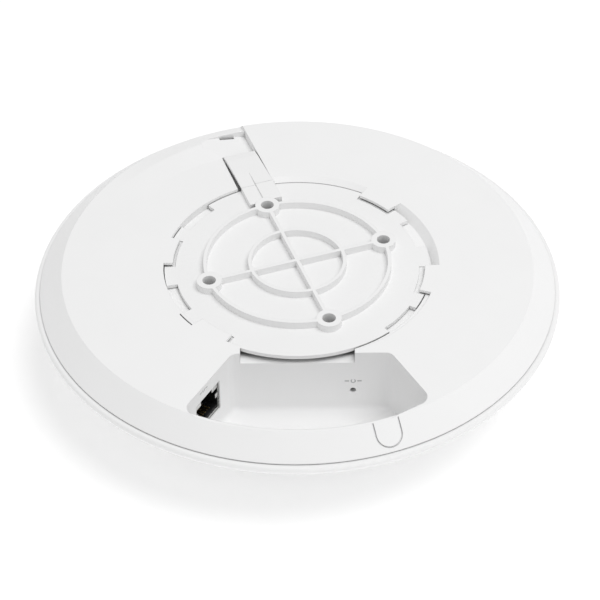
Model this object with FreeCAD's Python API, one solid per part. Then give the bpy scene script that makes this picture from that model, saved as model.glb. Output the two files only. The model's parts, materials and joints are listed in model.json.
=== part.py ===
"""Ceiling access point with its bayonet mounting bracket, in millimetres.

+Z is up. The origin is the centre of the bracket's ceiling face, so the ceiling is the plane Z = 0
and the whole unit hangs below it. "Depth" means distance below the casing's flat back face.
"""
import FreeCAD, Part
import math
import os

Vector = FreeCAD.Vector

# ---------------------------------------------------------------- overall sizes
rim_radius = 80.0            # widest radius of the unit
overall_height = 34.0        # ceiling plane to the crown of the front cover
ceiling_gap = 1.2            # ceiling plane to the casing's back face
cone_run = 7.1               # radial run of the casing's sloping flank
parting_overhang = 1.5       # the widest point stands this far out from the parting line
parting_depth = 6.6
rim_depth = 8.05             # depth of the widest point
rim_fillet = 2.0
rim_turn = 47.8              # degrees the rim fillet turns before the cover's outer arc
crown_sphere = 195.0         # radius of the shallow crown
crown_reach = 45.0           # radius where the crown meets the outer arc
parting_gap = 0.25

# ---------------------------------------------------------------- walls and clearances
casing_wall = 1.8
cover_wall = 1.7
pocket_wall = 1.5
tongue_wall = 1.5
cover_fit = 0.2              # tongue of the casing inside the cover
board_gap = 0.4              # board edge to the walls round it
bucket_gap = 0.4             # cable recess to the cover

# ---------------------------------------------------------------- bracket and its seat
disc_radius = 40.3
disc_top_depth = 1.1
disc_thickness = 1.2
dish_radius = 40.6           # round seat of the bracket in the casing
ledge_depth = 2.5            # ring that the disc's edge runs on
ledge_inner_radius = 34.0
dish_depth = 4.5
shelf_depth = 1.35           # shelf beside the tabs, just under the disc's top
lip_depth = 3.9              # opening from the dish into the cable recess
rib_width = 1.1
outer_rib_radius = 28.0
inner_rib_radius = 14.4
bolt_circle_radius = 28.0
bolt_hole_radius = 2.0
boss_radius = 3.8
arm_azimuth = 109.2          # direction of the release arm, and of the first bolt boss
lug_azimuths = (349.2, 49.8, 171.0, 230.4)
lug_inner_radii = (38.7, 37.8, 37.8, 37.5)
lug_half_angle = 8.6
lug_thickness = 0.9
twist_angle = 28.0           # turn from locked to released
notch_side_clearance = 0.8   # degrees each side of a lug
notch_root_clearance = 0.5
tab_step = 0.35
tab_step_radius = 37.0
shutoff_slot_radius = 41.6
shutoff_slot_width = 0.4

# ---------------------------------------------------------------- release arm
arm_left = -4.75
arm_right = 5.75
arm_tip = 57.7
arm_thickness = 0.9
arm_rest_angle = 3.6         # droop at rest, taken out when the arm rides on the back face
arm_hinge_reach = 39.6
arm_foot_reach = 30.6
arm_over_face = 0.1          # underside of the straight arm above the back face
arm_split = 0.05
arm_step = 0.5               # the arm's left half is this much lower at its root
arm_step_end = 46.5
slot_left = -5.75
slot_left_tip = -5.05
slot_right = 6.1
slot_depth = 2.9
slot_tip_clearance = 0.8
landing_left = -9.5
landing_left_depth = 0.3
landing_end_inset = 2.4      # end of the landing to the edge of the back face
sweep_angle = 30.0           # shallow path of the arm's tip on the casing
sweep_slope = 3.4
sweep_pivot_radius = 38.0
sweep_outer_radius = 66.7
finger_facet_inset = 4.4
finger_facet_slope = 18.0
finger_facet_end = 148.0

# ---------------------------------------------------------------- cable recess
recess_depth = 22.4
recess_wall = 1.6
recess_corners = ((-19.1, -40.3), (26.9, -40.3), (37.7, -59.6))
recess_left_direction = (-0.505, -0.863)
recess_left_length = 26.4    # along the left wall to its rim corner
recess_left_return = (0.80, -0.60)
recess_right_return = (-0.850, -0.526)
recess_left_return_length = 14.0
recess_right_return_length = 20.0
recess_corner_radii = (3.2, 2.6, 3.6)
recess_left_corner_radius = 3.4
recess_floor_fillet = 1.6
recess_lip_left = -16.8
recess_lip_right = 16.5
rim_land_depth = 0.4
rim_land_inset = 0.5
knockout_azimuth = -70.2
knockout_half_width = 3.8
knockout_length = 8.4
knockout_groove = 0.4

# ---------------------------------------------------------------- jack
jack_along_wall = 13.4       # along the recess's left wall from its inner corner
jack_centre_depth = 10.25
jack_port_width = 11.9
jack_port_height = 10.3
jack_width = 15.2
jack_height = 11.6
jack_length = 15.6
jack_shell_wall = 0.3
jack_play = 0.1
jack_front_wall = 0.5        # recess wall left in front of the jack
jack_seat_clearance = 0.3
jack_tab_width = 3.0
jack_tab_drop = 2.2
jack_cavity_depth = 12.6
plug_height = 7.0
latch_width = 6.4
contact_count = 8
contact_pitch = 1.02
contact_wire = 0.4

# ---------------------------------------------------------------- electronics stack
board_top_depth = 16.15
board_thickness = 1.6
board_edge_inset = 16.5      # board edge to the unit's widest radius
spreader_top_depth = 6.6
spreader_thickness = 1.2
spreader_radius = 57.0
spreader_bolt_radius = 52.0
spreader_bolt_azimuths = (20.0, 80.0, 152.0, 196.0)
board_bolt_radius = 48.5
board_bolt_azimuths = (2.0, 62.0, 122.0, 180.0)
screw_radius = 1.1
screw_pilot_clearance = 0.05
screw_hole_radius = 1.35
screw_head_radius = 2.2
screw_head_height = 1.4
post_radius = 2.9
processor_size = 14.0
processor_height = 1.4
pad_thickness = 0.8
reset_x = 16.1
reset_depth = 14.9
pinhole_radius = 0.9
reset_travel = 0.35

# ---------------------------------------------------------------- front of the cover
light_ring_outer = 20.3
light_ring_inner = 17.6
front_fit = 0.15

parting_radius = rim_radius - parting_overhang
back_radius = parting_radius - cone_run
board_radius = rim_radius - board_edge_inset
landing_end = back_radius - landing_end_inset
finger_facet_radius = back_radius - finger_facet_inset
rim_land_radius = back_radius - rim_land_inset
back_z = -ceiling_gap
crown_z = -overall_height
crown_centre_z = crown_z + crown_sphere
arm_direction = Vector(math.cos(math.radians(arm_azimuth)), math.sin(math.radians(arm_azimuth)), 0)
arm_side = Vector(arm_direction.y, -arm_direction.x, 0)
Z_AXIS = Vector(0, 0, 1)
ORIGIN = Vector(0, 0, 0)


# ================================================================ helpers
def below(depth):
    """Height of a point at this depth below the back face."""
    return back_z - depth


def polar(radius, azimuth, z=0.0):
    a = math.radians(azimuth)
    return Vector(radius * math.cos(a), radius * math.sin(a), z)


def polygon_wire(points):
    return Part.makePolygon(list(points) + [points[0]])


def turned(points, start=0.0, sweep=360.0):
    """Solid of revolution of (radius, height) points, from azimuth start through sweep."""
    face = Part.Face(polygon_wire([Vector(r, 0, z) for r, z in points]))
    solid = face.revolve(ORIGIN, Z_AXIS, sweep)
    solid.rotate(ORIGIN, Z_AXIS, start)
    return solid


def ring_sector(inner, outer, low, high, start, sweep):
    return turned([(inner, low), (outer, low), (outer, high), (inner, high)], start, sweep)


def cylinder(radius, low, high, centre=ORIGIN):
    return Part.makeCylinder(radius, high - low, Vector(centre.x, centre.y, low))


def tube(outer, inner, low, high, centre=ORIGIN):
    return cylinder(outer, low, high, centre).cut(cylinder(inner, low - 1, high + 1, centre))


def block(x0, x1, y0, y1, z0, z1):
    return Part.makeBox(x1 - x0, y1 - y0, z1 - z0, Vector(x0, y0, z0))


def along_arm(shape):
    """Move a shape drawn with X outward along the arm and Y to its left onto the arm's direction."""
    shape.rotate(ORIGIN, Z_AXIS, arm_azimuth)
    return shape


def arm_block(reach0, reach1, side0, side1, z0, z1):
    """Box along the arm: reach outward from the axis, side positive to the arm's right."""
    return along_arm(block(reach0, reach1, -side1, -side0, z0, z1))


def arm_prism(points, z0, z1):
    """Prism with (reach, side) corners, side positive to the arm's right."""
    wire = polygon_wire([Vector(reach, -side, z0) for reach, side in points])
    return along_arm(Part.Face(wire).extrude(Vector(0, 0, z1 - z0)))


def rounded_prism(corners, radii, z0, z1):
    """Vertical prism on a polygon whose corners have these radii (0 for a sharp one)."""
    edges = []
    count = len(corners)
    ends = []
    for i in range(count):
        here = Vector(corners[i][0], corners[i][1], z0)
        before = Vector(corners[i - 1][0], corners[i - 1][1], z0)
        after = Vector(corners[(i + 1) % count][0], corners[(i + 1) % count][1], z0)
        to_before = (before - here).normalize()
        to_after = (after - here).normalize()
        half = to_before.getAngle(to_after) / 2
        if radii[i] == 0:
            ends.append((here, here))
            continue
        cut = radii[i] / math.tan(half)
        first = here + to_before * cut
        last = here + to_after * cut
        bisector = (to_before + to_after).normalize()
        middle = here + bisector * (radii[i] / math.sin(half) - radii[i])
        edges.append(Part.Arc(first, middle, last).toShape())
        ends.append((first, last))
    for i in range(count):
        edges.append(Part.LineSegment(ends[i][1], ends[(i + 1) % count][0]).toShape())
    wire = Part.Wire(Part.__sortEdges__(edges))
    return Part.Face(wire).extrude(Vector(0, 0, z1 - z0))


def single(shape):
    """The one solid in a boolean's result."""
    shape = shape.removeSplitter()
    solids = shape.Solids
    if len(solids) != 1:
        raise ValueError("expected one solid, got %d" % len(solids))
    return solids[0]


def save(name, shape):
    shape.exportStep("parts/%s.step" % name)


# ================================================================ cover surface
def outer_arc():
    """Centre and radius of the cover's outer arc: tangent to the crown, ending at the rim fillet."""
    crown_edge_z = crown_centre_z - math.sqrt(crown_sphere ** 2 - crown_reach ** 2)
    inner_end = Vector(crown_reach, 0, crown_edge_z)
    turn = math.radians(rim_turn)
    fillet_centre_r = rim_radius - rim_fillet
    rim_end = Vector(fillet_centre_r + rim_fillet * math.cos(turn), 0,
                     below(rim_depth) - rim_fillet * math.sin(turn))
    inward = (Vector(0, 0, crown_centre_z) - inner_end).normalize()
    chord = inner_end - rim_end
    radius = -chord.dot(chord) / (2 * inward.dot(chord))
    return inner_end + inward * radius, radius, inner_end, rim_end


def arc_height(radius_from_axis, offset):
    """Height of the cover's outer arc surface, moved inward by offset."""
    centre, radius, _, _ = outer_arc()
    return centre.z - math.sqrt((radius - offset) ** 2 - (radius_from_axis - centre.x) ** 2)


def crown_height(radius_from_axis, offset):
    return crown_centre_z - math.sqrt((crown_sphere - offset) ** 2 - radius_from_axis ** 2)


def dome_body(offset, limit_radius, top_z):
    """Everything inside the cover's surface moved inward by offset, out to limit_radius."""
    centre, radius, inner_end, _ = outer_arc()
    crown_centre = Vector(0, 0, crown_centre_z)
    joint = crown_centre + (inner_end - crown_centre).normalize() * (crown_sphere - offset)
    crown_mid_r = joint.x / 2
    crown_mid = Vector(crown_mid_r, 0, crown_height(crown_mid_r, offset))
    rim_point = Vector(limit_radius, 0, arc_height(limit_radius, offset))
    top_z = max(top_z, rim_point.z + 0.5)
    arc_mid_r = (joint.x + limit_radius) / 2
    arc_mid = Vector(arc_mid_r, 0, arc_height(arc_mid_r, offset))
    low = Vector(0, 0, crown_z + offset)
    edges = [
        Part.Arc(low, crown_mid, joint).toShape(),
        Part.Arc(joint, arc_mid, rim_point).toShape(),
        Part.LineSegment(rim_point, Vector(limit_radius, 0, top_z)).toShape(),
        Part.LineSegment(Vector(limit_radius, 0, top_z), Vector(0, 0, top_z)).toShape(),
        Part.LineSegment(Vector(0, 0, top_z), low).toShape(),
    ]
    return Part.Face(Part.Wire(edges)).revolve(ORIGIN, Z_AXIS, 360)


# ================================================================ rear casing
cone_length = math.hypot(cone_run, parting_depth)
tongue_radius = parting_radius - 1.6
tongue_depth = parting_depth + 2.2
tongue_inner = tongue_radius - tongue_wall
shoulder_radius = parting_radius - 0.15


def cone_inner_depth(radius, wall):
    """Depth of the cone's inner face at this radius, for this wall."""
    start_r = back_radius - wall * parting_depth / cone_length
    start_depth = wall * cone_run / cone_length
    return start_depth + (radius - start_r) * parting_depth / cone_run


def cone_outer_depth(radius):
    return (radius - back_radius) * parting_depth / cone_run


def casing_envelope():
    bead = 0.25
    bead_depth = parting_depth + 1.4
    points = [
        (0, 0), (back_radius, 0), (shoulder_radius, cone_outer_depth(shoulder_radius)),
        (shoulder_radius, parting_depth + 0.1), (tongue_radius, parting_depth + 0.1),
        (tongue_radius, bead_depth - bead), (tongue_radius + bead, bead_depth),
        (tongue_radius, bead_depth + bead), (tongue_radius, tongue_depth), (0, tongue_depth),
    ]
    return turned([(r, below(d)) for r, d in points])


def casing_cavity():
    inner_corner = back_radius - casing_wall * parting_depth / cone_length
    inner_corner += (casing_wall - casing_wall * cone_run / cone_length) * cone_run / parting_depth
    points = [
        (0, casing_wall), (inner_corner, casing_wall),
        (tongue_inner, cone_inner_depth(tongue_inner, casing_wall)),
        (tongue_inner, tongue_depth + 1), (0, tongue_depth + 1),
    ]
    return turned([(r, below(d)) for r, d in points])


def recess_outline(offset):
    """Plan corners of the cable recess moved outward by offset, running out past the rim."""
    left, right, far = [Vector(x, y, 0) for x, y in recess_corners]
    left_dir = Vector(recess_left_direction[0], recess_left_direction[1], 0).normalize()
    right_dir = (far - right).normalize()
    return_dir = Vector(recess_right_return[0], recess_right_return[1], 0).normalize()
    left_return = Vector(recess_left_return[0], recess_left_return[1], 0).normalize()
    left_far = left + left_dir * recess_left_length
    lines = [
        (left, left_dir, Vector(left_dir.y, -left_dir.x, 0)),
        (left, Vector(1, 0, 0), Vector(0, 1, 0)),
        (right, right_dir, Vector(-right_dir.y, right_dir.x, 0)),
        (far, return_dir, Vector(-return_dir.y, return_dir.x, 0)),
        (left_far, left_return, Vector(left_return.y, -left_return.x, 0)),
    ]
    moved = [(p + n * offset, d) for p, d, n in lines]

    def meet(first, second):
        (p, d), (q, e) = first, second
        step = ((q.x - p.x) * e.y - (q.y - p.y) * e.x) / (d.x * e.y - d.y * e.x)
        point = p + d * step
        return (point.x, point.y)

    left_end = moved[4][0] + left_return * recess_left_return_length
    right_end = moved[3][0] + return_dir * recess_right_return_length
    past_rim = -rim_radius - 10
    corners = [meet(moved[0], moved[1]), meet(moved[1], moved[2]), meet(moved[2], moved[3]),
               (right_end.x, right_end.y), (right_end.x, past_rim), (left_end.x, past_rim),
               (left_end.x, left_end.y), meet(moved[4], moved[0])]
    radii = ([r + offset for r in recess_corner_radii] + [0, 0, 0, 0]
             + [recess_left_corner_radius + offset])
    return corners, radii


def recess_space():
    corners, radii = recess_outline(0)
    floor_z = below(recess_depth)
    prism = rounded_prism(corners, radii, floor_z, back_z + 1)
    floor_edges = [e for e in prism.Edges if e.BoundBox.ZMax < floor_z + 1e-6]
    prism = prism.makeFillet(recess_floor_fillet, floor_edges)
    wall_radius = tongue_inner - recess_wall
    wall_depth = cone_inner_depth(wall_radius, casing_wall)
    near_top = turned([(r, below(d)) for r, d in (
        (0, -1), (rim_radius, -1), (rim_radius, rim_land_depth), (rim_land_radius, rim_land_depth),
        (wall_radius, wall_depth), (wall_radius, tongue_depth), (0, tongue_depth))])
    offset = cover_wall + bucket_gap + recess_wall
    lower = dome_body(offset, wall_radius, below(tongue_depth) + 0.5)
    return prism.common(near_top.fuse(lower)).removeSplitter()


def recess_bucket(envelope):
    corners, radii = recess_outline(recess_wall)
    prism = rounded_prism(corners, radii, below(recess_depth + recess_wall), back_z + 1)
    offset = cover_wall + bucket_gap
    lower = dome_body(offset, tongue_inner, below(parting_depth - 1))
    return prism.common(envelope.fuse(lower))


def dish_space():
    """Round seat for the bracket, with a ledge under the disc's edge and chamfered where tabs enter."""
    seat = cylinder(dish_radius, below(ledge_depth), back_z + 1)
    middle = cylinder(ledge_inner_radius, below(dish_depth), back_z + 1)
    shelf = ring_sector(30, dish_radius + 1.7, below(shelf_depth), back_z + 1, 250, 92)
    entry = turned([(30, below(ledge_depth)), (dish_radius + 0.3, below(ledge_depth)),
                    (dish_radius + 2.5, back_z), (dish_radius + 2.5, back_z + 1),
                    (30, back_z + 1)], 358, 43)
    far = turned([(30, below(disc_top_depth)), (dish_radius, below(disc_top_depth)),
                  (dish_radius + 2.0, back_z), (dish_radius + 2.0, back_z + 1),
                  (30, back_z + 1)], 58, 42)
    lip = block(recess_lip_left, recess_lip_right, recess_corners[0][1] - 1, 1 - ledge_inner_radius,
                below(lip_depth), back_z + 1)
    return seat.multiFuse([middle, shelf, entry, far, lip])


def lugs():
    made = []
    for azimuth, inner in zip(lug_azimuths, lug_inner_radii):
        made.append(ring_sector(inner, dish_radius + 2.6, below(lug_thickness), back_z,
                                azimuth - lug_half_angle, 2 * lug_half_angle))
    return made


def shutoff_slot():
    """Narrow moulding slot in the back face beside a lug."""
    half = shutoff_slot_width / 2
    return ring_sector(shutoff_slot_radius - half, shutoff_slot_radius + half, below(1.4), back_z + 1,
                       213.3, 8.9)


def arm_slot():
    """Pocket that the arm springs into, deep under the arm."""
    inner = dish_radius - 2
    outer = arm_tip + slot_tip_clearance
    return arm_prism([(inner, slot_left), (outer, slot_left_tip), (outer, slot_right),
                      (inner, slot_right)], below(slot_depth), back_z + 1)


def landing():
    """Sloping floor beyond the arm's tip, deepest at the right-hand wall."""
    start = arm_tip - 1.5
    section = [Vector(start, -slot_right, below(slot_depth)),
               Vector(start, -landing_left, below(landing_left_depth)),
               Vector(start, -landing_left, back_z + 1),
               Vector(start, -slot_right, back_z + 1)]
    return along_arm(Part.Face(polygon_wire(section)).extrude(Vector(landing_end - start, 0, 0)))


def sweep_path():
    """Shallow path under the arm as the bracket turns, dying out where the arm is straight."""
    flat_reach = arm_tip + slot_tip_clearance
    sections = []
    for step in (-2.0, 7.0, 15.0, 23.0, sweep_angle + 2.0):
        slope = math.radians(sweep_slope * (1 - step / sweep_angle))
        azimuth = arm_azimuth + 5 + step
        inner = dish_radius - 0.5
        points = [
            polar(inner, azimuth, below(math.tan(slope) * (inner - sweep_pivot_radius))),
            polar(flat_reach, azimuth, below(math.tan(slope) * (flat_reach - sweep_pivot_radius))),
            polar(sweep_outer_radius, azimuth, below(0.0 if step < sweep_angle else -0.1)),
            polar(sweep_outer_radius, azimuth, back_z + 2),
            polar(inner, azimuth, back_z + 2),
        ]
        sections.append(polygon_wire(points))
    return Part.makeLoft(sections, True, True)


def finger_facet():
    """Bevel along the rim for a fingertip, dying out away from the arm."""
    sections = []
    span = finger_facet_end - arm_azimuth
    for share in (-0.25, 0.0, 0.25, 0.5, 0.75, 1.0):
        fade = min(1.0, 1.5 * (1.0 - share))
        rise = (rim_radius - finger_facet_radius) * math.tan(math.radians(finger_facet_slope * fade))
        azimuth = arm_azimuth + span * share
        sections.append(polygon_wire([
            polar(finger_facet_radius, azimuth, back_z), polar(rim_radius, azimuth, below(rise)),
            polar(rim_radius, azimuth, back_z + 1), polar(finger_facet_radius, azimuth, back_z + 1)]))
    wedge = Part.makeLoft(sections, True, False)
    return wedge.cut(arm_block(50, 90, slot_right, 60, back_z - 10, back_z + 5))


def release_slot():
    return arm_block(landing_end - 0.9, landing_end, -2.7, 2.2, below(6), back_z)


def local_thickening():
    """Extra wall inside the casing under the arm's pocket, its path and the finger facet."""
    under_slot = arm_block(dish_radius - 2, landing_end + 1, landing_left - 1, slot_right + 1.5,
                           below(slot_depth + pocket_wall), below(0.5))
    under_path = ring_sector(dish_radius - 2, 69.5, below(3.0), below(0.5),
                             arm_azimuth + 2, sweep_angle + 3)
    inner = finger_facet_radius - 1.0
    outer = back_radius + 1.6
    under_facet = turned([(inner, below(0.6)), (outer - 2.5, below(1.5)), (outer, below(3.0)),
                          (outer, below(cone_inner_depth(outer, casing_wall) - 0.3)),
                          (inner, below(3.4))],
                         arm_azimuth - 6, finger_facet_end - arm_azimuth + 7)
    return [under_slot, under_path, under_facet]


def knockout_line():
    """U-shaped break line of the cable knock-out, cut into the outside of the cone."""
    def paddle(half_width, length):
        straight = length - half_width
        pad = block(-half_width, half_width, -straight, 3, -6, 6)
        return pad.fuse(Part.makeCylinder(half_width, 12, Vector(0, -straight, -6)))

    line = paddle(knockout_half_width + knockout_groove / 2, knockout_length)
    line = line.cut(paddle(knockout_half_width - knockout_groove / 2,
                           knockout_length - knockout_groove))
    cone_angle = math.degrees(math.atan2(parting_depth, cone_run))
    line.rotate(ORIGIN, Vector(1, 0, 0), cone_angle)
    line.rotate(ORIGIN, Z_AXIS, knockout_azimuth + 90)
    line.translate(polar(back_radius, knockout_azimuth, back_z))
    groove_depth = 0.45
    points = [(back_radius + 0.3, 0), (rim_radius, cone_outer_depth(rim_radius)),
              (rim_radius, cone_outer_depth(rim_radius) + groove_depth * 1.4),
              (back_radius + 0.3, groove_depth * 1.4 + 0.3)]
    skin = turned([(r, below(d)) for r, d in points])
    return line.common(skin)


def jack_frame(shape):
    """Move a shape from the jack's own frame (front face in the XZ plane, Y into the wall)."""
    left_dir = Vector(recess_left_direction[0], recess_left_direction[1], 0).normalize()
    corner = Vector(recess_corners[0][0], recess_corners[0][1], 0)
    into_wall = Vector(left_dir.y, -left_dir.x, 0)
    face = corner + left_dir * jack_along_wall + into_wall * (jack_front_wall + jack_play)
    angle = math.degrees(math.atan2(-left_dir.y, -left_dir.x))
    shape.rotate(ORIGIN, Z_AXIS, angle)
    shape.translate(Vector(face.x, face.y, below(jack_centre_depth)))
    return shape


def jack_window():
    half = jack_port_width / 2 + 0.35
    tall = jack_port_height / 2 + 0.35
    window = block(-half, half, -recess_wall - 2, 0.5, -tall, tall)
    seat_half = jack_width / 2 + jack_seat_clearance
    seat_tall = jack_height / 2 + jack_seat_clearance
    seat = block(-seat_half, seat_half, -jack_play, recess_wall + 2, -seat_tall, seat_tall)
    return jack_frame(window.fuse(seat))


def reset_pinhole():
    wall_y = recess_corners[0][1]
    return Part.makeCylinder(pinhole_radius, recess_wall + 2, Vector(reset_x, wall_y - 1, below(reset_depth)),
                             Vector(0, 1, 0))


def spreader_bolt_points():
    return [polar(spreader_bolt_radius, a) for a in spreader_bolt_azimuths]


def board_bolt_points():
    return [polar(board_bolt_radius, a) for a in board_bolt_azimuths]


def rear_casing():
    envelope = casing_envelope()
    shell = envelope.cut(casing_cavity())
    ledge_back = cylinder(dish_radius + 2.5 + pocket_wall, below(ledge_depth + pocket_wall), below(0.5))
    dish_back = cylinder(ledge_inner_radius + pocket_wall, below(dish_depth + pocket_wall), below(0.5))
    lip_back = block(recess_lip_left - pocket_wall, recess_lip_right + pocket_wall,
                     recess_corners[0][1] + 0.5, 1 - ledge_inner_radius,
                     below(lip_depth + pocket_wall), below(0.5))
    posts = [cylinder(post_radius, below(spreader_top_depth), below(1.0), p) for p in spreader_bolt_points()]
    body = shell.multiFuse([ledge_back, dish_back, lip_back, recess_bucket(envelope)]
                           + local_thickening() + posts)
    pilot = screw_radius + screw_pilot_clearance
    holes = [cylinder(pilot, below(spreader_top_depth + 1), below(casing_wall + 0.6), p)
             for p in spreader_bolt_points()]
    cuts = [dish_space(), recess_space(), arm_slot(), landing(), finger_facet(), release_slot(),
            knockout_line(), jack_window(), reset_pinhole(), shutoff_slot()] + holes
    for cut in cuts:
        body = body.cut(cut)
    body = body.multiFuse(lugs())
    body = body.cut(sweep_path())
    return single(body)


# ================================================================ front cover and its light
def front_cover():
    centre, radius, inner_end, rim_end = outer_arc()
    crown_mid = Vector(crown_reach / 2, 0, crown_height(crown_reach / 2, 0))
    arc_mid_r = (inner_end.x + rim_end.x) / 2
    arc_mid = Vector(arc_mid_r, 0, arc_height(arc_mid_r, 0))
    fillet_r = rim_radius - rim_fillet
    half_turn = math.radians(rim_turn / 2)
    rim_z = below(rim_depth)
    fillet_mid = Vector(fillet_r + rim_fillet * math.cos(half_turn), 0, rim_z - rim_fillet * math.sin(half_turn))
    top_z = below(parting_depth + 0.1 + parting_gap)
    shoulder = top_z - rim_z
    corner = math.sqrt(0.5)
    edges = [
        Part.Arc(Vector(0, 0, crown_z), crown_mid, inner_end).toShape(),
        Part.Arc(inner_end, arc_mid, rim_end).toShape(),
        Part.Arc(rim_end, fillet_mid, Vector(rim_radius, 0, rim_z)).toShape(),
        Part.Arc(Vector(rim_radius, 0, rim_z),
                 Vector(rim_radius - shoulder * (1 - corner), 0, rim_z + shoulder * corner),
                 Vector(rim_radius - shoulder, 0, top_z)).toShape(),
        Part.LineSegment(Vector(rim_radius - shoulder, 0, top_z), Vector(0, 0, top_z)).toShape(),
        Part.LineSegment(Vector(0, 0, top_z), Vector(0, 0, crown_z)).toShape(),
    ]
    outside = Part.Face(Part.Wire(edges)).revolve(ORIGIN, Z_AXIS, 360)
    bore = tongue_radius + cover_fit
    cover = outside.cut(dome_body(cover_wall, bore, top_z + 1))
    bead_depth = parting_depth + 1.4
    groove = turned([(bore - 0.1, below(bead_depth - 0.4)), (bore + 0.3, below(bead_depth)),
                     (bore - 0.1, below(bead_depth + 0.4))])
    window = cylinder(light_ring_outer + front_fit, crown_z - 1, crown_z + 6)
    return single(cover.cut(groove).cut(window))


def crown_slice(outer, inner, offset_out, offset_in):
    """Ring of the crown between two radii and two offsets from the outer surface."""
    band = tube(outer, inner, crown_z - 1, crown_z + 8) if inner else cylinder(outer, crown_z - 1, crown_z + 8)
    body = dome_body(offset_out, 60.0, crown_z + 9)
    return band.common(body).cut(dome_body(offset_in, 59.0, crown_z + 10))


def light_guide():
    """Clear ring in the crown, with a cone that carries light down from the board."""
    ring = crown_slice(light_ring_outer, light_ring_inner, 0.0, cover_wall + 1.2)
    flange = crown_slice(light_ring_outer + 2.0, light_ring_inner - 0.2, cover_wall + 0.1, cover_wall + 1.2)
    top_z = below(board_top_depth + board_thickness + 1.0)
    low_z = crown_height(light_ring_inner, cover_wall + 0.6)
    cone = turned([(9.0, top_z), (10.8, top_z), (light_ring_inner + 1.6, low_z), (light_ring_inner, low_z)])
    return single(ring.multiFuse([flange, cone]))


def centre_cap():
    """Plain disc inside the light ring."""
    disc = crown_slice(light_ring_inner - front_fit, 0, 0.0, cover_wall + 0.2)
    return single(disc)


# ================================================================ mounting bracket
def notch_cut(azimuth, lug_inner):
    half = lug_half_angle + notch_side_clearance
    return ring_sector(lug_inner - notch_root_clearance, disc_radius + 2, below(6), 1,
                       azimuth - twist_angle - half, 2 * half)


def arm_foot():
    """Fixed root of the release arm, standing on the disc beside the first boss."""
    top = back_z + arm_over_face + arm_thickness
    foot = arm_block(arm_foot_reach, arm_hinge_reach - arm_split, arm_left, arm_right,
                     below(disc_top_depth + 0.2), top)
    trough = arm_block(arm_foot_reach - 1, arm_hinge_reach + 1, arm_left - 1, 0, top - arm_step, top + 1)
    return foot.cut(trough)


def fading_step(top):
    """Wedge that lowers the arm's left half at its root and dies out towards the tip."""
    section = [Vector(arm_hinge_reach - 1, 0, top - arm_step), Vector(arm_hinge_reach, 0, top - arm_step),
               Vector(arm_step_end, 0, top), Vector(arm_step_end, 0, top + 1),
               Vector(arm_hinge_reach - 1, 0, top + 1)]
    return along_arm(Part.Face(polygon_wire(section)).extrude(Vector(0, 1 - arm_left, 0)))


def mounting_bracket():
    disc_top = below(disc_top_depth)
    disc_low = disc_top - disc_thickness
    disc = cylinder(disc_radius, disc_low, disc_top)
    half_rib = rib_width / 2
    ribs = [tube(outer_rib_radius + half_rib, outer_rib_radius - half_rib, disc_top - 0.2, 0),
            tube(inner_rib_radius + half_rib, inner_rib_radius - half_rib, disc_top - 0.2, 0)]
    spokes = []
    holes = []
    for i in range(4):
        boss_at = polar(bolt_circle_radius, arm_azimuth + 90 * i)
        ribs.append(cylinder(boss_radius, disc_top - 0.2, 0, boss_at))
        holes.append(cylinder(bolt_hole_radius, disc_low - 1, 1, boss_at))
    for i in range(2):
        spokes.append(arm_spoke(90 * i, disc_top - 0.2))
    body = disc.multiFuse(ribs + spokes + [arm_foot()])
    for azimuth, lug_inner in zip(lug_azimuths, lug_inner_radii):
        half = lug_half_angle + notch_side_clearance
        body = body.cut(notch_cut(azimuth, lug_inner))
        body = body.cut(ring_sector(tab_step_radius, disc_radius + 2, disc_top - tab_step, 1,
                                    azimuth - half, 2 * half))
    for hole in holes:
        body = body.cut(hole)
    return single(body)


def arm_spoke(turn, low):
    spoke = block(-bolt_circle_radius, bolt_circle_radius, -rib_width / 2, rib_width / 2, low, 0)
    spoke.rotate(ORIGIN, Z_AXIS, arm_azimuth + turn)
    return spoke


def release_arm():
    """Springy arm, drawn straight along the back face and then drooped to its rest angle."""
    low = back_z + arm_over_face
    top = low + arm_thickness
    arm = arm_block(arm_hinge_reach, arm_tip, arm_left, arm_right, low, top)
    arm = arm.cut(fading_step(top))
    tip_bevel = along_arm(Part.Face(polygon_wire([
        Vector(arm_tip - 3.0, 20, top), Vector(arm_tip + 1, 20, top - 0.5),
        Vector(arm_tip + 1, 20, top + 1), Vector(arm_tip - 3.0, 20, top + 1)])).extrude(Vector(0, -40, 0)))
    arm = arm.cut(tip_bevel)
    hinge = arm_direction * arm_hinge_reach + Vector(0, 0, (low + top) / 2)
    arm.rotate(hinge, arm_side, -arm_rest_angle)
    return single(arm)


# ================================================================ board and heat spreader
def keep_out(offset, low, high):
    """Space round the cable recess, as a prism."""
    corners, radii = recess_outline(recess_wall + offset)
    return rounded_prism(corners, radii, low, high)


def jack_keep_out(margin, low, high):
    half = jack_width / 2 + margin
    space = block(-half, half, -3, jack_length + margin, 0, high - low)
    space = jack_frame(space)
    space.translate(Vector(0, 0, low - space.BoundBox.ZMin))
    return space


def main_board():
    top = below(board_top_depth)
    low = top - board_thickness
    board = cylinder(board_radius, low, top)
    board = board.cut(keep_out(board_gap, low - 1, top + 1))
    for point in board_bolt_points():
        board = board.cut(cylinder(screw_hole_radius, low - 1, top + 1, point))
    return largest(board)


def largest(shape):
    return max(shape.Solids, key=lambda s: s.Volume)


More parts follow.
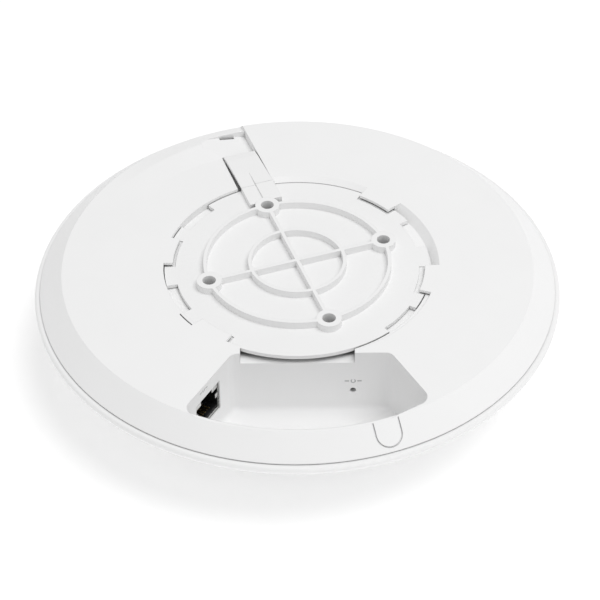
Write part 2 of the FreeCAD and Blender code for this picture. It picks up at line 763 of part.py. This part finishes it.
def heat_spreader():
    """Stamped and machined plate, with posts for the board and a pedestal over the processor."""
    top = below(spreader_top_depth)
    low = top - spreader_thickness
    plate = cylinder(spreader_radius, low, top)
    plate = plate.cut(keep_out(board_gap + 0.4, low - 1, top + 1))
    plate = plate.cut(jack_keep_out(1.0, low - 1, top + 1))
    plate = largest(plate)
    board_top = below(board_top_depth)
    posts = [cylinder(post_radius, board_top, low + 0.2, p) for p in board_bolt_points()]
    half = processor_size / 2
    pedestal_low = board_top + processor_height + pad_thickness
    pedestal = block(-half, half, 8 - half, 8 + half, pedestal_low, low + 0.2)
    body = plate.multiFuse(posts + [pedestal])
    for point in spreader_bolt_points():
        body = body.cut(cylinder(screw_hole_radius, low - 1, top + 1, point))
    pilot = screw_radius + screw_pilot_clearance
    for point in board_bolt_points():
        body = body.cut(cylinder(pilot, board_top - 1, board_top + 6, point))
    return single(body)


def screw(point, head_z, length):
    """Pan-head screw pointing up, its head's underside at head_z."""
    shank = cylinder(screw_radius, head_z - 0.2, head_z + length, point)
    head = cylinder(screw_head_radius, head_z - screw_head_height, head_z, point)
    head = head.makeFillet(0.5, [e for e in head.Edges if abs(e.BoundBox.ZMax - (head_z - screw_head_height)) < 1e-6
                                 and len(e.Vertexes) == 1])
    cross = block(-1.2, 1.2, -0.28, 0.28, 0, 0.8)
    cross = cross.fuse(block(-0.28, 0.28, -1.2, 1.2, 0, 0.8))
    cross.translate(Vector(point.x, point.y, head_z - screw_head_height))
    return single(shank.fuse(head).cut(cross))


def spreader_screws():
    head_z = below(spreader_top_depth + spreader_thickness)
    return Part.makeCompound([screw(p, head_z, 5.0) for p in spreader_bolt_points()])


def board_screws():
    head_z = below(board_top_depth + board_thickness)
    return Part.makeCompound([screw(p, head_z, 6.0) for p in board_bolt_points()])


# ================================================================ jack
def jack_shell():
    half_w = jack_width / 2
    half_h = jack_height / 2
    wall = jack_shell_wall
    body = block(-half_w, half_w, 0, jack_length, -half_h, half_h)
    inside = block(-half_w + wall, half_w - wall, wall, jack_length + 1, -half_h - 1, half_h - wall)
    window = block(-jack_port_width / 2, jack_port_width / 2, -1, wall + 1,
                   -jack_port_height / 2 + 0.4, jack_port_height / 2 - 0.2)
    body = body.cut(inside).cut(window)
    tabs = []
    for side in (-1, 1):
        reach = side * (jack_port_width / 2)
        tabs.append(block(min(reach, reach - side * 1.3), max(reach, reach - side * 1.3), 0, wall, -0.6, 1.0))
        top_x = side * (jack_port_width - jack_tab_width) / 2
        tabs.append(block(top_x - jack_tab_width / 2, top_x + jack_tab_width / 2, 0, wall,
                          jack_port_height / 2 - jack_tab_drop, jack_port_height / 2))
    return single(jack_frame(body.multiFuse(tabs)))


def jack_insert():
    """Moulded insulator filling the shell round the plug's cavity."""
    play = 0.05
    wall = jack_shell_wall
    half_w = jack_width / 2 - wall - play
    top = jack_height / 2 - wall - play
    bottom = -jack_height / 2 + play
    body = block(-half_w, half_w, wall + play, jack_length - 0.2, bottom, top)
    floor = -jack_port_height / 2 + 1.0
    cavity = block(-jack_port_width / 2, jack_port_width / 2, -1, jack_cavity_depth, floor, floor + plug_height)
    latch = block(-latch_width / 2, latch_width / 2, -1, jack_cavity_depth - 3,
                  floor + plug_height - 1, jack_port_height / 2 - 0.3)
    wires = block(-contact_pitch * 4.4, contact_pitch * 4.4, 1.2, jack_cavity_depth + 1.2, floor - 0.5, floor + 1)
    return single(jack_frame(body.cut(cavity).cut(latch).cut(wires)))


def jack_contacts():
    """Eight sprung wires rising from the cavity's floor towards the back."""
    floor = -jack_port_height / 2 + 1.0
    made = []
    for i in range(contact_count):
        x = (i - (contact_count - 1) / 2) * contact_pitch
        half = contact_wire / 2
        profile = [Vector(x - half, 1.6, floor - 0.42), Vector(x - half, 4.4, floor - 0.42),
                   Vector(x - half, 10.6, floor + 2.5), Vector(x - half, 10.4, floor + 2.9),
                   Vector(x - half, 4.2, floor), Vector(x - half, 1.6, floor)]
        made.append(Part.Face(polygon_wire(profile)).extrude(Vector(contact_wire, 0, 0)))
    return jack_frame(Part.makeCompound(made))


# ================================================================ reset switch
def switch_seat():
    wall_back = recess_corners[0][1] + recess_wall
    return wall_back + 1.0


def reset_plunger():
    """Button of the side-push switch, right behind the pinhole."""
    start = switch_seat()
    stem = Part.makeCylinder(0.7, 2.4, Vector(reset_x, start, below(reset_depth)), Vector(0, 1, 0))
    collar_y = start + 1.55
    collar = block(reset_x - 1.1, reset_x + 1.1, collar_y, collar_y + 0.5,
                   below(reset_depth) - 0.95, below(reset_depth) + 0.95)
    return single(stem.fuse(collar))


def reset_switch():
    front = switch_seat() + 1.0
    z = below(reset_depth)
    low = below(board_top_depth)
    body = block(reset_x - 2.3, reset_x + 2.3, front, front + 3.4, low, z + 1.6)
    body = body.cut(block(reset_x - 1.25, reset_x + 1.25, front + 0.45, front + 2.1, z - 1.1, z + 1.1))
    bore = Part.makeCylinder(0.75, 2, Vector(reset_x, front - 1, z), Vector(0, 1, 0))
    return single(body.cut(bore))


# ================================================================ components on the board
def on_top(x, y, size_x, size_y, height):
    z = below(board_top_depth)
    return block(x - size_x / 2, x + size_x / 2, y - size_y / 2, y + size_y / 2, z, z + height)


def underneath(x, y, size_x, size_y, height):
    z = below(board_top_depth + board_thickness)
    return block(x - size_x / 2, x + size_x / 2, y - size_y / 2, y + size_y / 2, z - height, z)


def chamfered_chip(chip, amount):
    top = chip.BoundBox.ZMax
    edges = [e for e in chip.Edges if e.BoundBox.ZMin > top - 1e-6]
    return chip.makeChamfer(amount, edges)


def processor():
    return chamfered_chip(on_top(0, 8, processor_size, processor_size, processor_height), 0.2)


def thermal_pad():
    z = below(board_top_depth) + processor_height
    half = processor_size / 2 - 0.5
    return block(-half, half, 8 - half, 8 + half, z, z + pad_thickness)


def memory_chips():
    return Part.makeCompound([chamfered_chip(on_top(x, -12, 8, 12, 1.1), 0.15) for x in (-6, 6)])


def flash_chip():
    return chamfered_chip(on_top(18, 4, 8, 5.2, 1.8), 0.15)


def clock_crystal():
    can = on_top(-14, 10, 3.2, 5.0, 1.2)
    return can.makeFillet(0.5, [e for e in can.Edges if abs(e.Vertexes[0].Z - e.Vertexes[1].Z) > 0.5])


def ethernet_transformer():
    body = on_top(-28, -20, 12.7, 15.0, 5.6)
    return chamfered_chip(body, 0.5)


def electrolytic_capacitors():
    z = below(board_top_depth)
    made = []
    for x, y in ((-38, 2), (-38, 11), (-29, 5)):
        can = Part.makeCylinder(3.15, 7.2, Vector(x, y, z + 0.4))
        rim = [e for e in can.Edges if abs(e.BoundBox.ZMin - (z + 7.6)) < 1e-6 and abs(e.BoundBox.ZMax - (z + 7.6)) < 1e-6]
        can = can.makeFillet(0.4, rim)
        made.append(can.fuse(block(x - 3.3, x + 3.3, y - 3.3, y + 3.3, z, z + 0.5)))
    return Part.makeCompound([single(m) for m in made])


def power_inductors():
    made = []
    for x, y in ((-26, 18), (-16, 22)):
        coil = on_top(x, y, 7.0, 7.0, 3.6)
        made.append(coil.makeFillet(1.2, [e for e in coil.Edges if abs(e.Vertexes[0].Z - e.Vertexes[1].Z) > 2]))
    return Part.makeCompound(made)


shield_wall = 0.25
shield_height = 2.6
shields = {"2g": (-27.0, 6.0, 22.0, 26.0), "5g": (27.0, 6.0, 22.0, 26.0)}


def radio_shield(band):
    x, y, size_x, size_y = shields[band]
    can = underneath(x, y, size_x, size_y, shield_height)
    low = below(board_top_depth + board_thickness)
    edges = [e for e in can.Edges if abs(e.Vertexes[0].Z - e.Vertexes[1].Z) > 1]
    can = can.makeFillet(0.8, edges)
    inside = block(x - size_x / 2 + shield_wall, x + size_x / 2 - shield_wall, y - size_y / 2 + shield_wall,
                   y + size_y / 2 - shield_wall, low - shield_height + shield_wall, low + 1)
    return single(can.cut(inside))


def radio_chip(band):
    x, y, _, _ = shields[band]
    return underneath(x, y, 9.0, 9.0, 1.0)


def status_leds():
    return Part.makeCompound([underneath(6.5 * math.cos(a), 6.5 * math.sin(a), 1.6, 1.0, 0.7)
                              for a in (0.0, math.pi / 2, math.pi, 3 * math.pi / 2)])


def antenna(azimuth, span):
    """Stamped strip antenna: two feet, an upright and a folded-over top plate."""
    low = below(board_top_depth + board_thickness)
    metal = 0.3
    rise = 4.6
    upright = block(46.0, 46.0 + metal, -span / 2, span / 2, low - rise, low - 0.8)
    feet = [block(46.0, 46.0 + metal, y - 1.0, y + 1.0, low - 1.0, low) for y in (-span / 2 + 1.0, span / 2 - 3.5)]
    plate = block(40.5, 46.0 + metal, -span / 2, span / 2, low - rise, low - rise + metal)
    slot = block(41.8, 45.0, -span / 2 + 3.0, span / 2 - 4.0, low - rise - 1, low - rise + 1)
    slot = slot.fuse(block(43.0, 44.2, -span / 2 - 1, -span / 2 + 4.0, low - rise - 1, low - rise + 1))
    body = single(upright.multiFuse(feet + [plate.cut(slot)]))
    body.rotate(ORIGIN, Z_AXIS, azimuth)
    return body


# ================================================================ everything
def main():
    os.makedirs("parts", exist_ok=True)
    save("mounting_bracket", mounting_bracket())
    save("release_arm", release_arm())
    save("rear_casing", rear_casing())
    save("front_cover", front_cover())
    save("light_guide", light_guide())
    save("centre_cap", centre_cap())
    save("heat_spreader", heat_spreader())
    save("main_board", main_board())
    save("spreader_screws", spreader_screws())
    save("board_screws", board_screws())
    save("jack_shell", jack_shell())
    save("jack_insert", jack_insert())
    save("jack_contacts", jack_contacts())
    save("reset_plunger", reset_plunger())
    save("reset_switch", reset_switch())
    save("processor", processor())
    save("thermal_pad", thermal_pad())
    save("memory_chips", memory_chips())
    save("flash_chip", flash_chip())
    save("clock_crystal", clock_crystal())
    save("ethernet_transformer", ethernet_transformer())
    save("electrolytic_capacitors", electrolytic_capacitors())
    save("power_inductors", power_inductors())
    for band in shields:
        save("radio_shield_" + band, radio_shield(band))
        save("radio_chip_" + band, radio_chip(band))
    save("status_leds", status_leds())
    for number, (azimuth, span) in enumerate(((30, 22), (150, 22), (205, 16), (345, 16)), start=1):
        save("antenna_%d" % number, antenna(azimuth, span))


main()
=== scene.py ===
import json
import math

import bpy
from mathutils import Matrix, Vector


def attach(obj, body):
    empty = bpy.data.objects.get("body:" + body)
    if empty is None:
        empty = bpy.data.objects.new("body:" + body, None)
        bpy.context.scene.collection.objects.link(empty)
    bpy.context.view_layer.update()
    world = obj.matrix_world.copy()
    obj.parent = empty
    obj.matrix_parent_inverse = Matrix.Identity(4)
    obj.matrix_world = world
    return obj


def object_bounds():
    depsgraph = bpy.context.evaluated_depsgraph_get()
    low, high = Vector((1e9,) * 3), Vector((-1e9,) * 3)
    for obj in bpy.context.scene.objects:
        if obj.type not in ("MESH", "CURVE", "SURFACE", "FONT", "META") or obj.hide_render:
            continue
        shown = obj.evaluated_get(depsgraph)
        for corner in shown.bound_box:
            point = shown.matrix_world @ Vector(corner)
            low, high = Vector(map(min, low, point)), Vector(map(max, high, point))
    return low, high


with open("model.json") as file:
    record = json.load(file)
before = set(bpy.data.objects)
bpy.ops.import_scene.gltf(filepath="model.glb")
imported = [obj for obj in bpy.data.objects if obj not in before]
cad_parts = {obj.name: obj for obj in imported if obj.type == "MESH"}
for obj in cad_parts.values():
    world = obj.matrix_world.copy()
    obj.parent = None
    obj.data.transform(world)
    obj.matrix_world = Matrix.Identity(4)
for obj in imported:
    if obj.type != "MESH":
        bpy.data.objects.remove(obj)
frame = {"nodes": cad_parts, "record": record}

cad_low, cad_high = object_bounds()

FLOOR_Z = cad_low.z

# ------------------------------------------------------------------ camera
CAMERA_DISTANCE = 0.63372
CAMERA_ELEVATION = math.radians(40.6)
CAMERA_ROLL = math.radians(-0.38)
CAMERA_LENS_MM = 125.3
CAMERA_SENSOR_MM = 36.0
AIM = Vector((0.00074, -0.0171, -0.0012))
BACK_CENTRE = Vector((0.0, 0.0, -0.0012))


def add_camera():
    outward = Vector((0.0, -math.cos(CAMERA_ELEVATION), math.sin(CAMERA_ELEVATION)))
    place = BACK_CENTRE + CAMERA_DISTANCE * outward
    camera = bpy.data.objects.new("camera", bpy.data.cameras.new("camera"))
    camera.data.lens = CAMERA_LENS_MM
    camera.data.sensor_width = CAMERA_SENSOR_MM
    camera.data.clip_start = 0.01
    camera.data.clip_end = 10.0
    look = (AIM - place).to_track_quat("-Z", "Y").to_matrix().to_4x4()
    camera.matrix_world = Matrix.Translation(place) @ look @ Matrix.Rotation(CAMERA_ROLL, 4, "Z")
    bpy.context.scene.collection.objects.link(camera)
    bpy.context.scene.camera = camera


# ------------------------------------------------------------------ light and floor
WORLD_STRENGTH = 0.575
KEY_PLACE = Vector((0.44, -0.12, 1.42))
KEY_SIZE = 1.1
KEY_POWER = 9.6
FLOOR_HALF = 3.0
FLOOR_GLOW = 0.18


def add_key():
    """Large round softbox, high up and a little to the right, aimed at the origin."""
    light = bpy.data.lights.new("key", "AREA")
    light.shape = "DISK"
    light.size = KEY_SIZE
    light.energy = KEY_POWER
    lamp = bpy.data.objects.new("key", light)
    look = (-KEY_PLACE).to_track_quat("-Z", "Y").to_matrix().to_4x4()
    lamp.matrix_world = Matrix.Translation(KEY_PLACE) @ look
    bpy.context.scene.collection.objects.link(lamp)


def add_world():
    world = bpy.data.worlds.new("studio")
    world.use_nodes = True
    background = world.node_tree.nodes["Background"]
    background.inputs["Color"].default_value = (1.0, 1.0, 1.0, 1.0)
    background.inputs["Strength"].default_value = WORLD_STRENGTH
    bpy.context.scene.world = world


def add_floor():
    half = FLOOR_HALF
    mesh = bpy.data.meshes.new("floor")
    corners = [(-half, -half, FLOOR_Z), (half, -half, FLOOR_Z),
               (half, half, FLOOR_Z), (-half, half, FLOOR_Z)]
    mesh.from_pydata(corners, [], [(0, 1, 2, 3)])
    floor = bpy.data.objects.new("floor", mesh)
    bpy.context.scene.collection.objects.link(floor)
    floor.data.materials.append(floor_material())


# ------------------------------------------------------------------ materials
PLASTIC_GRAIN_SCALE = 2600.0
PLASTIC_GRAIN_HEIGHT = 0.000012
NOISE_DETAIL = 3.0
MOTTLE = 0.012
MOTTLE_SCALE = 45.0
GLOSS_SCALE = 180.0
# Painted shade: these set how far the plastic's colour is darkened in narrow gaps and holes, from
# ambient occlusion.
CREVICE_REACH = 0.005
CREVICE_DARK_AT = 0.04
CREVICE_CLEAR_AT = 0.31
CREVICE_SHADE_COLOR = (0.1, 0.1, 0.1, 1.0)
BRUSH_STRETCH = (1.0, 1.0, 12.0)


def principled(name, color, roughness, metallic=0.0):
    material = bpy.data.materials.new(name)
    material.use_nodes = True
    shader = material.node_tree.nodes["Principled BSDF"]
    shader.inputs["Base Color"].default_value = (*color, 1.0)
    shader.inputs["Roughness"].default_value = roughness
    shader.inputs["Metallic"].default_value = metallic
    return material, shader


def object_coords(nodes):
    return nodes.new("ShaderNodeTexCoord").outputs["Object"]


def noise(nodes, links, scale):
    texture = nodes.new("ShaderNodeTexNoise")
    texture.inputs["Scale"].default_value = scale
    texture.inputs["Detail"].default_value = NOISE_DETAIL
    links.new(object_coords(nodes), texture.inputs["Vector"])
    return texture.outputs["Fac"]


def spread(nodes, links, value, low, high):
    """Maps a noise value from its middle range onto low..high."""
    node = nodes.new("ShaderNodeMapRange")
    node.inputs["From Min"].default_value = 0.3
    node.inputs["From Max"].default_value = 0.7
    node.inputs["To Min"].default_value = low
    node.inputs["To Max"].default_value = high
    links.new(value, node.inputs["Value"])
    return node.outputs["Result"]


def tint(nodes, links, value, dark, light):
    node = nodes.new("ShaderNodeMix")
    node.data_type = "RGBA"
    node.inputs["A"].default_value = (*dark, 1.0)
    node.inputs["B"].default_value = (*light, 1.0)
    links.new(value, node.inputs["Factor"])
    return node.outputs["Result"]


def grain_bump(nodes, links, shader, scale, height, edge=0.0):
    bump = nodes.new("ShaderNodeBump")
    bump.inputs["Strength"].default_value = 1.0
    bump.inputs["Distance"].default_value = height
    links.new(noise(nodes, links, scale), bump.inputs["Height"])
    if edge:
        bevel = nodes.new("ShaderNodeBevel")
        bevel.samples = 6
        bevel.inputs["Radius"].default_value = edge
        links.new(bevel.outputs["Normal"], bump.inputs["Normal"])
    links.new(bump.outputs["Normal"], shader.inputs["Normal"])


def crevice_shade(nodes, links, color):
    """Paints shade into the colour deep in narrow gaps and holes, found by ambient occlusion."""
    occlusion = nodes.new("ShaderNodeAmbientOcclusion")
    occlusion.samples = 8
    occlusion.inputs["Distance"].default_value = CREVICE_REACH
    depth = nodes.new("ShaderNodeMapRange")
    depth.inputs["From Min"].default_value = CREVICE_DARK_AT
    depth.inputs["From Max"].default_value = CREVICE_CLEAR_AT
    links.new(occlusion.outputs["AO"], depth.inputs["Value"])
    node = nodes.new("ShaderNodeMix")
    node.data_type = "RGBA"
    node.inputs["A"].default_value = CREVICE_SHADE_COLOR
    links.new(color, node.inputs["B"])
    links.new(depth.outputs["Result"], node.inputs["Factor"])
    return node.outputs["Result"]


def moulded_plastic(name, color, roughness=0.5, edge=0.00025):
    """Fine moulded grain, faint mottling, painted shade in narrow gaps and holes, and softened edges.
    """
    material, shader = principled(name, color, roughness)
    nodes, links = material.node_tree.nodes, material.node_tree.links
    shader.inputs["IOR"].default_value = 1.46
    shader.inputs["Specular IOR Level"].default_value = 0.35
    patches = spread(nodes, links, noise(nodes, links, MOTTLE_SCALE), 0.0, 1.0)
    darker = tuple(c * (1.0 - MOTTLE) for c in color)
    mottled = tint(nodes, links, patches, darker, color)
    # the base colour carries painted shade in narrow gaps and holes
    links.new(crevice_shade(nodes, links, mottled), shader.inputs["Base Color"])
    rough = spread(nodes, links, noise(nodes, links, GLOSS_SCALE), roughness - 0.05, roughness + 0.05)
    links.new(rough, shader.inputs["Roughness"])
    grain_bump(nodes, links, shader, PLASTIC_GRAIN_SCALE, PLASTIC_GRAIN_HEIGHT, edge)
    return material


def frosted_ring(name, color):
    material, shader = principled(name, color, 0.35)
    nodes, links = material.node_tree.nodes, material.node_tree.links
    shader.inputs["Subsurface Weight"].default_value = 0.4
    shader.inputs["Subsurface Scale"].default_value = 0.002
    grain_bump(nodes, links, shader, 1400.0, 0.00001, 0.0002)
    return material


def sheet_metal(name, color, roughness):
    """Brushed metal: the noise is stretched across the sheet."""
    material, shader = principled(name, color, roughness, 1.0)
    nodes, links = material.node_tree.nodes, material.node_tree.links
    mapping = nodes.new("ShaderNodeMapping")
    mapping.inputs["Scale"].default_value = BRUSH_STRETCH
    links.new(object_coords(nodes), mapping.inputs["Vector"])
    texture = nodes.new("ShaderNodeTexNoise")
    texture.inputs["Scale"].default_value = 600.0
    texture.inputs["Detail"].default_value = 4.0
    links.new(mapping.outputs["Vector"], texture.inputs["Vector"])
    rough = spread(nodes, links, texture.outputs["Fac"], roughness - 0.08, roughness + 0.1)
    links.new(rough, shader.inputs["Roughness"])
    darker = tuple(c * 0.88 for c in color)
    links.new(tint(nodes, links, texture.outputs["Fac"], darker, color), shader.inputs["Base Color"])
    grain_bump(nodes, links, shader, 900.0, 0.000006, 0.0001)
    return material


def circuit_board(name, mask, copper):
    """Green laminate with fine tracks showing through the solder mask."""
    material, shader = principled(name, mask, 0.3)
    nodes, links = material.node_tree.nodes, material.node_tree.links
    shader.inputs["Coat Weight"].default_value = 0.3
    shader.inputs["Coat Roughness"].default_value = 0.15
    tracks = nodes.new("ShaderNodeTexBrick")
    tracks.inputs["Scale"].default_value = 260.0
    tracks.inputs["Mortar Size"].default_value = 0.08
    tracks.inputs["Color1"].default_value = (*mask, 1.0)
    tracks.inputs["Color2"].default_value = (*(c * 0.85 for c in mask), 1.0)
    tracks.inputs["Mortar"].default_value = (*copper, 1.0)
    links.new(object_coords(nodes), tracks.inputs["Vector"])
    links.new(tracks.outputs["Color"], shader.inputs["Base Color"])
    bump = nodes.new("ShaderNodeBump")
    bump.inputs["Distance"].default_value = 0.00003
    links.new(tracks.outputs["Fac"], bump.inputs["Height"])
    links.new(bump.outputs["Normal"], shader.inputs["Normal"])
    return material


def floor_material():
    material, shader = principled("floor", (1.0, 1.0, 1.0), 0.9)
    shader.inputs["Specular IOR Level"].default_value = 0.1
    shader.inputs["Emission Color"].default_value = (1.0, 1.0, 1.0, 1.0)
    shader.inputs["Emission Strength"].default_value = FLOOR_GLOW
    return material


WHITE = (0.94, 0.94, 0.94)
BRACKET_WHITE = (0.925, 0.925, 0.925)

materials = {
    "casing_white": moulded_plastic("casing_white", WHITE),
    "cover_white": moulded_plastic("cover_white", WHITE, 0.42),
    "bracket_white": moulded_plastic("bracket_white", BRACKET_WHITE, 0.5, edge=0.0002),
    "light_ring": frosted_ring("light_ring", (0.82, 0.83, 0.84)),
    "button_grey": moulded_plastic("button_grey", (0.012, 0.012, 0.013), 0.5, edge=0.00005),
    "mark_print": moulded_plastic("mark_print", (0.3, 0.3, 0.31), 0.6, edge=0.0),
    "heat_metal": sheet_metal("heat_metal", (0.72, 0.73, 0.74), 0.38),
    "board_green": circuit_board("board_green", (0.01, 0.07, 0.03), (0.03, 0.13, 0.05)),
    "screw_steel": sheet_metal("screw_steel", (0.5, 0.5, 0.52), 0.3),
    "shield_metal": sheet_metal("shield_metal", (0.66, 0.66, 0.65), 0.28),
    "insert_black": moulded_plastic("insert_black", (0.012, 0.012, 0.013), 0.45, edge=0.0001),
    "contact_gold": sheet_metal("contact_gold", (0.83, 0.62, 0.28), 0.25),
    "chip_black": moulded_plastic("chip_black", (0.015, 0.015, 0.016), 0.55, edge=0.0001),
    "pad_grey": moulded_plastic("pad_grey", (0.2, 0.25, 0.36), 0.8),
    "capacitor_metal": sheet_metal("capacitor_metal", (0.6, 0.6, 0.63), 0.3),
    "ferrite_grey": moulded_plastic("ferrite_grey", (0.045, 0.045, 0.05), 0.6),
    "led_white": frosted_ring("led_white", (0.85, 0.83, 0.6)),
}


def dress_nodes():
    slots = {s["node"]: s["material_slot"] for s in frame["record"]["subparts"]}
    for node, piece in frame["nodes"].items():
        piece.data.materials.clear()
        piece.data.materials.append(materials[slots[node]])


# ------------------------------------------------------------------ printed marks
def plate(name, pairs, place, across, up):
    """Thin closed plate of print on a wall; pairs are the stroke's two edges in the wall's plane."""
    outward = up.cross(across).normalized()
    verts = []
    for height in (-MARK_SUNK, MARK_PROUD):
        for pair in pairs:
            for u, v in pair:
                verts.append(place + across * u + up * v + outward * height)
    count = len(pairs)
    layer = 2 * count
    faces = []
    for i in range(count - 1):
        a, b, c, d = 2 * i, 2 * i + 1, 2 * i + 3, 2 * i + 2
        faces += [(a, b, c, d), (a + layer, d + layer, c + layer, b + layer)]
        faces += [(a, d, d + layer, a + layer), (b, b + layer, c + layer, c)]
    last = layer - 1
    faces += [(0, layer, layer + 1, 1), (last - 1, last, last + layer, last + layer - 1)]
    mesh = bpy.data.meshes.new(name)
    mesh.from_pydata([tuple(v) for v in verts], [], faces)
    mesh.validate()
    piece = bpy.data.objects.new(name, mesh)
    bpy.context.scene.collection.objects.link(piece)
    piece.data.materials.append(materials["mark_print"])
    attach(piece, "access_point")


def stroke_arc(radius, width, start, sweep):
    pairs = []
    inner, outer = radius - width / 2, radius + width / 2
    for i in range(ARC_STEPS + 1):
        angle = math.radians(start + sweep * i / ARC_STEPS)
        pairs.append([(inner * math.cos(angle), inner * math.sin(angle)),
                      (outer * math.cos(angle), outer * math.sin(angle))])
    return pairs


def stroke_bar(u0, u1, width):
    return [[(u0, width / 2), (u0, -width / 2)], [(u1, width / 2), (u1, -width / 2)]]


def add_mark(name, place, across, scale):
    """A ring with a gap between two short bars."""
    up = Vector((0.0, 0.0, 1.0))
    unit = 0.001 * scale
    plate(name + "_ring", stroke_arc(0.62 * unit, 0.22 * unit, 120.0, 300.0), place, across, up)
    plate(name + "_bar_left", stroke_bar(-2.5 * unit, -1.2 * unit, 0.3 * unit), place, across, up)
    plate(name + "_bar_right", stroke_bar(1.2 * unit, 2.5 * unit, 0.3 * unit), place, across, up)


ARC_STEPS = 28
MARK_PROUD = 0.00002
MARK_SUNK = 0.00002
RESET_MARK = Vector((0.0161, -0.0403, -0.0124))
JACK_MARK = Vector((-0.02693, -0.05368, -0.00285))
LEFT_WALL = Vector((-0.505, -0.863, 0.0)).normalized()

bpy.context.scene.view_settings.view_transform = "Standard"
add_camera()
add_world()
add_key()
add_floor()
dress_nodes()
add_mark("reset_mark", RESET_MARK, Vector((1.0, 0.0, 0.0)), 1.0)
add_mark("jack_mark", JACK_MARK, -LEFT_WALL, 0.8)
